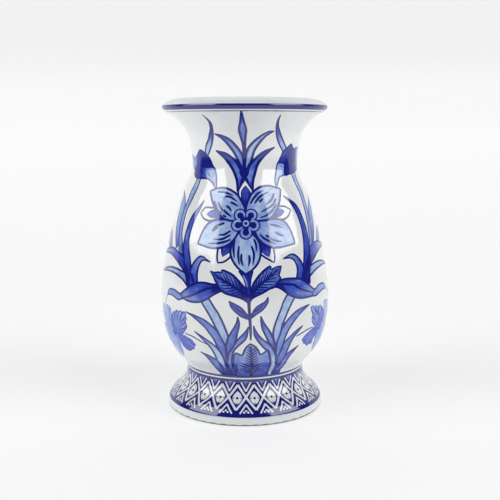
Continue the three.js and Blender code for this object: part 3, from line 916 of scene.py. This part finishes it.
def lathe(name, profiles, material, node):
    """A turned piece: each profile is a run of (radius, height) points in mm."""
    points = []
    faces = []
    turns = np.linspace(0, 2 * math.pi, RING_SEGMENTS, endpoint=False)
    for profile in profiles:
        rows = []
        for radius, height in profile:
            count = RING_SEGMENTS if radius > 0 else 1
            rows.append([len(points) + k for k in range(count)])
            for t in turns[:count]:
                points.append((radius * MM * math.sin(t), -radius * MM * math.cos(t), height * MM))
        for low, high in zip(rows, rows[1:]):
            for k in range(RING_SEGMENTS):
                after = (k + 1) % RING_SEGMENTS
                below = [low[k % len(low)], low[after % len(low)]]
                above = [high[after % len(high)], high[k % len(high)]]
                faces.append(list(dict.fromkeys(below + above)))
    mesh = bpy.data.meshes.new(name)
    mesh.from_pydata(points, [], faces)
    mesh.shade_smooth()
    mesh.set_sharp_from_angle(angle=math.radians(38))
    mesh.materials.append(material)
    piece = bpy.data.objects.new(name, mesh)
    bpy.context.scene.collection.objects.link(piece)
    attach(piece, "root")
    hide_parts(node)


def wall_inside(low, high, widest=math.inf):
    """The inner face of the wall between two heights, one wall thickness in from the outside."""
    points = []
    for (radius, height), (slope_r, slope_z) in zip(outside[1:], outside_slope):
        inner = (radius - WALL * slope_z, height + WALL * slope_r)
        last = points[-1][1] if points else low
        if last + 0.5 < inner[1] < high and inner[0] < widest:
            points.append(inner)
    return points


def joint_face(ring, side):
    """The stepped face of a joint, from the outside in: side -1 is below the slip, +1 above."""
    radius, height = ring
    gap = side * SLIP
    middle = radius - WALL / 2 + gap
    return [
        (radius, height), (radius - SLIP, height + gap), (middle, height + gap),
        (middle, height + STEP + gap), (radius - WALL, height + STEP + gap),
    ]


def slip_ring(ring):
    """The slip in a joint, a little shrunk from the glaze outside, with a small bead inside."""
    radius, height = ring
    thin = SLIP - 0.02
    middle = radius - WALL / 2
    inner = radius - WALL
    top = height + STEP
    below = [(radius - 0.7, height - thin), (middle - thin, height - thin), (middle - thin, top - thin),
             (inner, top - thin)]
    above = [(inner, top + thin), (middle + thin, top + thin), (middle + thin, height + thin),
             (radius - 0.7, height + thin)]
    bead = [(inner - 0.35, top - 0.2), (inner - 0.5, top), (inner - 0.35, top + 0.2)]
    tip = (radius - 0.4, height)
    return [tip, *below, *bead, *above, tip]


def build_insides(glaze, clay, slip):
    """All that lies inside the painted face: wall, floor, joints, standing ring and slip."""
    foot_inside = [(FOOT_RADIUS - WALL, CHAMFER), *wall_inside(CHAMFER, WAIST[1] + STEP - SLIP)]
    lathe("foot_inside", [[*foot_inside, *joint_face(WAIST, -1)[::-1]]], glaze, "foot")

    standing = [
        (FOOT_RADIUS - WALL, CHAMFER), (FOOT_RADIUS - WALL + 0.2, 0.25), (FOOT_RADIUS - WALL + 0.7, 0.0),
        (FOOT_RADIUS - CHAMFER - 0.2, 0.0), (FOOT_RADIUS - 0.35, 0.25), (FOOT_RADIUS, CHAMFER),
    ]
    lathe("foot_standing_ring", [standing], clay, "foot")

    underside = WAIST[1] + STEP + SLIP
    floor = underside + FLOOR_THICKNESS
    bowl = [
        (0, floor), (12.0, floor), (WAIST[0] - 2 * WALL, floor + 0.3),
        (WAIST[0] - 1.45 * WALL, floor + 0.9), (WAIST[0] - WALL, floor + WALL / 4 + 0.4),
        *wall_inside(floor + WALL / 2, BELLY[1] + STEP - SLIP), *joint_face(BELLY, -1)[::-1],
    ]
    bottom = [*joint_face(WAIST, 1), (0, underside)]
    lathe("lower_belly_inside", [bowl, bottom], glaze, "lower_belly")

    shoulder = [
        *joint_face(BELLY, 1), *wall_inside(BELLY[1] + STEP + SLIP, THROAT[1] + STEP - SLIP),
        *joint_face(THROAT, -1)[::-1],
    ]
    lathe("upper_belly_inside", [shoulder], glaze, "upper_belly")

    lip_radius, lip_height = LIP_ROLL[-1]
    mouth = [
        *joint_face(THROAT, 1), *wall_inside(THROAT[1] + STEP + SLIP, lip_height, lip_radius),
        *[tuple(p) for p in smooth(LIP_ROLL, 8)[::-1]],
    ]
    lathe("neck_inside", [mouth], glaze, "neck")

    for ring, name in ((WAIST, "waist_luting"), (BELLY, "belly_luting"), (THROAT, "throat_luting")):
        lathe(f"{name}_slip", [slip_ring(ring)], slip, name)


# ---------------------------------------------------------------- materials
def linear(r, g, b):
    """A display colour, 0 to 255, as the shader's linear colour."""
    out = []
    for c in (r / 255, g / 255, b / 255):
        out.append(c / 12.92 if c <= 0.04045 else ((c + 0.055) / 1.055) ** 2.4)
    return (*out, 1.0)


class Shader:
    """A short way to write a material's nodes."""

    def __init__(self, name):
        self.material = bpy.data.materials.new(name)
        self.material.use_nodes = True
        self.tree = self.material.node_tree
        self.tree.nodes.clear()

    def plug(self, value, socket):
        """Links another node's output to a socket, or sets a plain value on it."""
        if isinstance(value, bpy.types.NodeSocket):
            self.tree.links.new(value, socket)
        else:
            socket.default_value = value

    def node(self, kind, inputs=None, **settings):
        """A node with its settings; an input is another node's socket or a plain value."""
        node = self.tree.nodes.new(kind)
        for key, value in settings.items():
            setattr(node, key, value)
        for key, value in (inputs or {}).items():
            self.plug(value, node.inputs[key])
        return node

    def ramp(self, factor, stops):
        """A colour ramp through (place, colour) stops."""
        node = self.node("ShaderNodeValToRGB", {"Fac": factor})
        node.color_ramp.interpolation = "EASE"
        elements = node.color_ramp.elements
        while len(elements) < len(stops):
            elements.new(0.5)  # the loop below moves it
        for element, (place, colour) in zip(elements, stops):
            element.position = place
            element.color = colour
        return node.outputs["Color"]

    def math(self, operation, a, b=0.0, c=0.0):
        """A sum on up to three sockets or numbers."""
        node = self.node("ShaderNodeMath", {0: a, 1: b, 2: c}, operation=operation)
        return node.outputs[0]

    def finish(self, inputs):
        """Ends the material with its surface shader."""
        surface = self.node("ShaderNodeBsdfPrincipled", inputs)
        self.node("ShaderNodeOutputMaterial", {"Surface": surface.outputs[0]})
        return self.material


GLAZE_IOR = 1.78  # refractive index, high so that the glaze shines as in the photo


def grey(level):
    """A grey as a linear colour."""
    return (level, level, level, 1)


def gloss(shader):
    """The fired glaze's surface: nearly smooth, with faint waves and fine pits."""
    place = shader.node("ShaderNodeTexCoord").outputs["Object"]
    wave = shader.node("ShaderNodeTexNoise", {"Vector": place, "Scale": 70.0, "Detail": 2.0})
    pits = shader.node("ShaderNodeTexNoise", {"Vector": place, "Scale": 900.0, "Detail": 2.0})
    height = shader.math("MULTIPLY_ADD", pits.outputs["Fac"], 0.06, wave.outputs["Fac"])
    bump = shader.node("ShaderNodeBump", {"Height": height, "Strength": 0.35, "Distance": 0.0006})
    rough = shader.math("MULTIPLY_ADD", wave.outputs["Fac"], 0.08, 0.05)
    return place, rough, bump.outputs["Normal"]


def white_glaze():
    """Milky white glaze, a little blue and thin on the foot's edge and on the lip; towards the top of the
    lip the blue is partly the thin glaze and partly painted shade.
    """
    shader = Shader("white_glaze")
    place, rough, normal = gloss(shader)
    cloud = shader.node("ShaderNodeTexNoise", {"Vector": place, "Scale": 22.0, "Detail": 4.0})
    colour = shader.ramp(cloud.outputs["Fac"], [(0.3, linear(226, 229, 231)), (0.7, linear(238, 240, 240))])
    height = shader.node("ShaderNodeSeparateXYZ", {"Vector": place}).outputs["Z"]
    # Painted shade in part: the lip's top, which faces up, is made darker and bluer towards the crest.
    lip = shader.node("ShaderNodeMapRange", {"Value": height, "From Min": 0.1965, "From Max": 0.1995})
    edge = shader.node("ShaderNodeMapRange", {"Value": height, "From Min": 0.0075, "From Max": 0.0045})
    thin_glaze_and_painted_shade = shader.math("MAXIMUM", lip.outputs[0], edge.outputs[0])
    pale_blue_and_painted_shade = linear(224, 232, 236)
    tinted = shader.node("ShaderNodeMix", {"Factor": thin_glaze_and_painted_shade, 6: colour, 7: pale_blue_and_painted_shade}, data_type="RGBA")
    return shader.finish({
        "Base Color": tinted.outputs[2], "Roughness": rough, "Normal": normal, "IOR": GLAZE_IOR,
    })


def cobalt(name):
    """Cobalt under the glaze, streaked along the brush stroke, pooled at its edges and cloudy."""
    shader = Shader(name)
    place, rough, normal = gloss(shader)
    brush = shader.node("ShaderNodeAttribute", attribute_name="brush", attribute_type="GEOMETRY")
    parts = shader.node("ShaderNodeSeparateXYZ", {"Vector": brush.outputs["Vector"]})
    along, across, tone = parts.outputs
    grain = shader.node("ShaderNodeCombineXYZ", {
        "X": shader.math("MULTIPLY", along, 0.09),
        "Y": shader.math("MULTIPLY", across, 1.7),
    })
    streak = shader.node("ShaderNodeTexNoise", {"Vector": grain.outputs[0], "Scale": 2.0, "Detail": 3.0})
    cloud = shader.node("ShaderNodeTexNoise", {"Vector": place, "Scale": 260.0, "Detail": 3.0})
    swing = shader.math("MULTIPLY_ADD", streak.outputs["Fac"], 0.5, -0.25)
    mottle = shader.math("MULTIPLY_ADD", cloud.outputs["Fac"], 0.3, -0.15)
    pool = shader.math("MULTIPLY", shader.math("POWER", shader.math("ABSOLUTE", across), 4.0), 0.12)
    total = shader.math("ADD", shader.math("ADD", tone, swing), shader.math("ADD", mottle, pool))
    colour = shader.ramp(total, [
        (0.0, linear(180, 204, 234)), (0.3, linear(122, 150, 218)), (0.6, linear(56, 80, 190)),
        (0.85, linear(17, 30, 150)), (1.0, linear(4, 14, 118)),
    ])
    return shader.finish({"Base Color": colour, "Roughness": rough, "Normal": normal, "IOR": GLAZE_IOR})


def bare_clay():
    """Fired clay where the glaze was wiped off, gritty and stained, its brown kept dark in part as painted
    shadow where the foot meets the floor.
    """
    shader = Shader("bare_clay")
    place = shader.node("ShaderNodeTexCoord").outputs["Object"]
    grit = shader.node("ShaderNodeTexNoise", {"Vector": place, "Scale": 1400.0, "Detail": 4.0})
    stain = shader.node("ShaderNodeTexNoise", {"Vector": place, "Scale": 120.0, "Detail": 3.0})
    # Painted shadow in part: these browns are darker than the clay alone, for the shade where the pot
    # stands.
    colour = shader.ramp(stain.outputs["Fac"], [(0.3, linear(116, 106, 88)), (0.7, linear(148, 138, 118))])
    bump = shader.node("ShaderNodeBump", {
        "Height": grit.outputs["Fac"], "Strength": 0.5, "Distance": 0.0004,
    })
    rough = shader.math("MULTIPLY_ADD", grit.outputs["Fac"], 0.2, 0.7)
    return shader.finish({"Base Color": colour, "Roughness": rough, "Normal": bump.outputs["Normal"]})


def dried_slip():
    """The pale slip in the joints, dragged and fine-grained."""
    shader = Shader("dried_slip")
    place = shader.node("ShaderNodeTexCoord").outputs["Object"]
    grit = shader.node("ShaderNodeTexNoise", {"Vector": place, "Scale": 1100.0, "Detail": 4.0})
    drag = shader.node("ShaderNodeTexNoise", {"Vector": place, "Scale": 90.0, "Detail": 2.0})
    colour = shader.ramp(drag.outputs["Fac"], [(0.3, linear(206, 200, 188)), (0.7, linear(222, 218, 208))])
    bump = shader.node("ShaderNodeBump", {
        "Height": grit.outputs["Fac"], "Strength": 0.4, "Distance": 0.0003,
    })
    rough = shader.math("MULTIPLY_ADD", drag.outputs["Fac"], 0.2, 0.55)
    return shader.finish({"Base Color": colour, "Roughness": rough, "Normal": bump.outputs["Normal"]})


# ---------------------------------------------------------------- stage, in metres
SWEEP_FRONT = -1.6
SWEEP_FLAT = 0.34  # where the paper starts to rise behind the pot
SWEEP_BEND = 0.28  # radius of the bend
BEND_STEPS = 16
SWEEP_TOP = 1.7
SWEEP_HALF = 1.8  # half the paper's width
BOX_WIDTH = 0.9
BOX_HEIGHT = 1.0
BOX_BOTTOM = 0.315
BOX_DISTANCE = 1.0
BOX_POWER = 9.7  # watts
BOX_TURNS = {"left_box": -66, "right_box": 63}  # degrees round the pot from the front
ROOM_STRENGTH = 0.1
LENS = 57.83  # mm, on a sensor 36 mm wide
EYE = (0.0034, -0.523, 0.1823)
EYE_TILT = -8.7  # degrees from level


def sweep():
    """A white paper sweep: flat under the pot, bending up behind it."""
    profile = [(SWEEP_FRONT, 0.0), (SWEEP_FLAT, 0.0)]
    for k in range(1, BEND_STEPS + 1):
        turn = math.radians(90 * k / BEND_STEPS)
        profile.append((SWEEP_FLAT + SWEEP_BEND * math.sin(turn), SWEEP_BEND * (1 - math.cos(turn))))
    profile.append((SWEEP_FLAT + SWEEP_BEND, SWEEP_TOP))
    points = []
    faces = []
    for k, (y, z) in enumerate(profile):
        points += [(-SWEEP_HALF, y, z), (SWEEP_HALF, y, z)]
        if k:
            faces.append((2 * k - 2, 2 * k - 1, 2 * k + 1, 2 * k))
    mesh = bpy.data.meshes.new("sweep")
    mesh.from_pydata(points, [], faces)
    mesh.shade_smooth()
    piece = bpy.data.objects.new("sweep", mesh)
    bpy.context.scene.collection.objects.link(piece)
    mesh.materials.append(paper())


def paper():
    """White paper that gives off its own light by emission, as painted light, with painted shade: a touch
    darker just behind the pot's foot and towards the top.
    """
    shader = Shader("paper")
    place = shader.node("ShaderNodeTexCoord").outputs["Object"]
    parts = shader.node("ShaderNodeSeparateXYZ", {"Vector": place})
    depth = shader.node("ShaderNodeMapRange", {
        "Value": parts.outputs["Y"], "From Min": -0.6, "From Max": 0.4,
    })
    # Painted shade: the emission dips just behind the pot's foot, where the pot's shadow and the paper's
    # bend fall.
    floor_light_and_shade = shader.ramp(depth.outputs[0], [
        (0.26, grey(0.56)), (0.44, grey(0.575)), (0.566, grey(0.575)), (0.65, (0.55, 0.55, 0.545, 1)),
        (0.762, grey(0.585)),
    ])
    # Painted shade: the emission dims up the paper towards the top.
    painted_dimming = shader.ramp(parts.outputs["Z"], [(0.16, grey(1)), (0.22, grey(0.94)), (0.3, grey(0.8))])
    painted_light = shader.node("ShaderNodeVectorMath", {0: floor_light_and_shade, 1: painted_dimming}, operation="MULTIPLY")
    fibre = shader.node("ShaderNodeTexNoise", {"Vector": place, "Scale": 300.0})
    return shader.finish({
        "Base Color": shader.ramp(fibre.outputs["Fac"], [(0.3, grey(0.44)), (0.7, grey(0.46))]),
        "Roughness": 0.9, "Specular IOR Level": 0.0,
        "Emission Color": painted_light.outputs[0], "Emission Strength": 1.0,
    })


def studio():
    """Two large softboxes, left and right, in a pale room."""
    scene = bpy.context.scene
    scene.view_settings.view_transform = "Standard"
    world = bpy.data.worlds.new("studio")
    scene.world = world
    world.use_nodes = True
    nodes = world.node_tree.nodes
    room = nodes["Background"]
    room.inputs["Color"].default_value = (0.97, 0.985, 1, 1)
    room.inputs["Strength"].default_value = ROOM_STRENGTH
    backdrop = nodes.new("ShaderNodeBackground")  # what the camera sees past the paper
    backdrop.inputs["Color"].default_value = (0.9, 0.9, 0.9, 1)
    seen = nodes.new("ShaderNodeMixShader")
    links = world.node_tree.links
    links.new(nodes.new("ShaderNodeLightPath").outputs["Is Camera Ray"], seen.inputs[0])
    links.new(room.outputs[0], seen.inputs[1])
    links.new(backdrop.outputs[0], seen.inputs[2])
    links.new(seen.outputs[0], nodes["World Output"].inputs["Surface"])
    sweep()
    for name, azimuth in BOX_TURNS.items():
        light = bpy.data.lights.new(name, "AREA")
        light.shape = "RECTANGLE"
        light.size = BOX_WIDTH
        light.size_y = BOX_HEIGHT
        light.energy = BOX_POWER
        lamp = bpy.data.objects.new(name, light)
        turn = math.radians(azimuth)
        middle = BOX_BOTTOM + BOX_HEIGHT / 2
        lamp.location = (BOX_DISTANCE * math.sin(turn), -BOX_DISTANCE * math.cos(turn), middle)
        lamp.rotation_euler = (math.radians(90), 0, turn)
        scene.collection.objects.link(lamp)


def camera():
    """The camera, in front of the pot's neck and looking slightly down."""
    data = bpy.data.cameras.new("camera")
    data.sensor_width = 36.0
    data.lens = LENS
    eye = bpy.data.objects.new("camera", data)
    eye.location = EYE
    eye.rotation_euler = (math.radians(90 + EYE_TILT), 0, 0)
    bpy.context.scene.collection.objects.link(eye)
    bpy.context.scene.camera = eye


# ---------------------------------------------------------------- build
materials = {
    GLAZE: white_glaze(),
    LINE: cobalt("cobalt_line"),
    WASH: cobalt("cobalt_wash"),
    CLAY: bare_clay(),
}
paint()
for (section, ink), (where, triangles, values) in painted_surfaces().items():
    piece = painted_object(f"{section}_{ink}", where, triangles, values, materials[ink])
    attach(piece, "root")
    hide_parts(section)

build_insides(materials[GLAZE], materials[CLAY], dried_slip())

studio()
camera()
